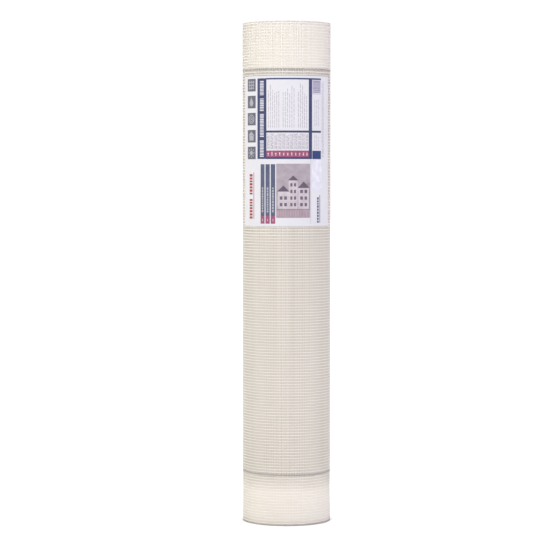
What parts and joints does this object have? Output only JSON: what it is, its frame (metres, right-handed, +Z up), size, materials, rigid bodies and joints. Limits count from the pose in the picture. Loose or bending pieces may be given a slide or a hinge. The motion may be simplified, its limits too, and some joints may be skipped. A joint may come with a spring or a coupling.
{
  "type": "roll of fibreglass mesh",
  "caption": "Roll of coated open glass fibre mesh for reinforcing plaster, wound on a cardboard core, standing on its end, with a printed sheet glued to its outer turn.",
  "frame": {"origin": "middle of the lower end, in the plane the roll stands on, on the winding axis", "axes": "+Z up along the winding axis, -Y towards the printed sheet, +X to the right when facing the sheet"},
  "size_m": [0.177, 0.1776, 1],
  "materials": {
    "glass_mesh": "white alkali-resistant coating on woven glass yarns, satin",
    "core_board": "brown spiral-wound board, matte",
    "label_paper": "white coated paper with a printed layout, semi-matte"
  },
  "bodies": {
    "root": {"mesh_roll": "glass_mesh", "core_tube": "core_board", "label": "label_paper"}
  },
  "joints": []
}
